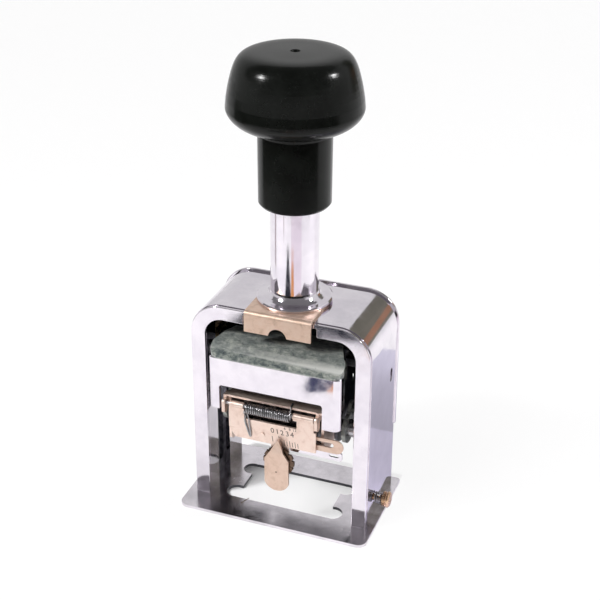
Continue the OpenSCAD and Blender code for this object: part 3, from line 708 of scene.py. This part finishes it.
def add_ink_pad():
    """A felt block with soft edges and a slightly crowned face, seated in the holder's tray."""
    edge, face_depth, crown, fuzz = 0.7 * MM, 0.3 * MM, 0.25, 0.03
    low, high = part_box("ink_pad")
    size, centre = high - low, (low + high) / 2
    mesh = bpy.data.meshes.new("ink_pad_felt")
    bm = bmesh.new()
    bmesh.ops.create_cube(bm, size=1.0)
    bmesh.ops.scale(bm, vec=size, verts=bm.verts)
    bmesh.ops.translate(bm, vec=centre, verts=bm.verts)
    front = [e for e in bm.edges if all(abs(v.co.y - low.y) < 1e-6 for v in e.verts)]
    bmesh.ops.bevel(bm, geom=front, offset=edge, segments=3, affect="EDGES", profile=0.6)
    bmesh.ops.subdivide_edges(bm, edges=bm.edges[:], cuts=3, use_grid_fill=True)
    for v in bm.verts:
        if v.co.y < low.y + face_depth:
            u = (v.co.x - centre.x) / (size.x / 2)
            w = (v.co.z - centre.z) / (size.z / 2)
            v.co.y += crown * MM * (u ** 4 + w ** 4) / 2 + random.uniform(0, fuzz) * MM
    bm.to_mesh(mesh)
    bm.free()
    smooth(mesh)
    piece = link("ink_pad_felt", mesh)
    finish_with(piece, "felt")
    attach(piece, "pad")
    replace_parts(piece, "ink_pad")


add_ink_pad()


# ---- Figures and marks ----

# The thickness of paint in an engraving, in mm, and a font's size over the height of its figures
PAINT_MM = 0.04
FONT_SIZE = 1.38


def text_mesh(text, height_mm, depth_mm):
    """A figure as a mesh in its own XY plane, centred, in metres."""
    data = bpy.data.curves.new("figure", "FONT")
    data.body = text
    data.size = height_mm * MM * FONT_SIZE
    data.align_x = "CENTER"
    data.align_y = "CENTER"
    data.extrude = depth_mm * MM / 2
    data.resolution_u = 3
    return mesh_of("figure", data)


def join_meshes(name, parts):
    """One piece from (mesh, matrix) pairs."""
    bm = bmesh.new()
    for mesh, matrix in parts:
        part = mesh.copy()
        part.transform(matrix)
        bm.from_mesh(part)
        bpy.data.meshes.remove(part)
    mesh = bpy.data.meshes.new(name)
    bm.normal_update()
    bm.to_mesh(mesh)
    bm.free()
    return link(name, mesh)


def box_mesh(size):
    """A centred block, its size given in mm."""
    mesh = bpy.data.meshes.new("bar")
    bm = bmesh.new()
    bmesh.ops.create_cube(bm, size=1.0)
    bmesh.ops.scale(bm, vec=Vector(size) * MM, verts=bm.verts)
    bm.to_mesh(mesh)
    bm.free()
    return mesh


def facing_front(x, y, z, turn=0.0):
    """Places a mesh drawn in XY on a plane that faces -Y, with its up along +Z."""
    return Matrix.Translation(Vector((x, y, z)) * MM) @ Matrix.Rotation(math.pi / 2, 4, "X") @ \
        Matrix.Rotation(turn, 4, "Z")


def add_dial_figures():
    """Figures of the repeat setting, with two staggered rows and their ticks."""
    face = -20.91
    lean = 0.14
    large, small, tick = 2.1, 1.1, 0.2
    figures = [(text, large, x, z) for text, x, z in (
        ("0", -0.3, 39.1), ("1", 1.6, 39.0), ("2", 3.4, 38.9), ("3", 5.4, 38.9), ("4", 7.2, 38.9))]
    figures += [(text, small, x, 41.0) for text, x in (("6", 4.4), ("8", 6.3), ("12", 8.1))]
    ticks = [(-0.25, 35.7, 2.3), (2.2, 37.0, 0.9)]
    ticks += [(4.3 + 1.03 * i, 34.9 - 0.1 * (i % 2), 2.4 - 0.5 * (i % 2)) for i in range(6)]
    parts = [(text_mesh(text, height, PAINT_MM), facing_front(x, face, z, lean))
             for text, height, x, z in figures]
    parts += [(box_mesh((tick, height, PAINT_MM)), facing_front(x, face, z, lean))
              for x, z, height in ticks]
    piece = join_meshes("dial_figures", parts)
    finish_with(piece, "nickel", "paint")
    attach(piece, "dial")


def add_sighting_line():
    """Paint in the engraved line at the foot's front left."""
    width = 0.32
    start, end = Vector((-14.7, -17.2, 1.2)), Vector((-13.1, -13.2, 1.2))
    turn = math.atan2(end.y - start.y, end.x - start.x)
    place = Matrix.Translation((start + end) / 2 * MM) @ Matrix.Rotation(turn, 4, "Z")
    bar = box_mesh(((end - start).length, width, PAINT_MM))
    piece = join_meshes("sighting_line", [(bar, place)])
    finish_with(piece, "chrome", "brass_paint")
    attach(piece, "root")


def add_lever_dot():
    """A small diamond on the setting lever."""
    dot = box_mesh((0.5, 0.5, 0.05))
    piece = join_meshes("lever_dot", [(dot, facing_front(2.0, -23.31, 23.4, 0.7))])
    finish_with(piece, "nickel", "paint")
    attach(piece, "lever")


def add_wheel_figures():
    """Mirrored figures on the ten lands of every wheel, as they stand to print."""
    wheels, pitch, gap, half_land = 6, 4.8, 0.2, 1.5
    axis = Vector((0, -6, 37))
    land_r, sunk, height, depth = 10.3, 0.19, 2.6, 0.34
    start, step = math.radians(-14), math.radians(36)
    side = Vector((1, 0, 0))
    for i in range(wheels):
        x = (i - wheels // 2) * pitch + gap + half_land
        parts = []
        for figure in range(10):
            angle = start + figure * step
            out = Vector((0, math.cos(angle), math.sin(angle)))
            up = Vector((0, -math.sin(angle), math.cos(angle)))
            place = (axis + out * (land_r - sunk) + Vector((x, 0, 0))) * MM
            matrix = Matrix([(side[k], up[k], out[k], place[k]) for k in range(3)] + [(0, 0, 0, 1)])
            parts.append((text_mesh(str(figure), height, depth), matrix))
        piece = join_meshes(f"wheel_{i + 1}_figures", parts)
        finish_with(piece, "wheel_steel", "paint")
        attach(piece, f"wheel_{i + 1}")


add_dial_figures()
add_sighting_line()
add_lever_dot()
add_wheel_figures()
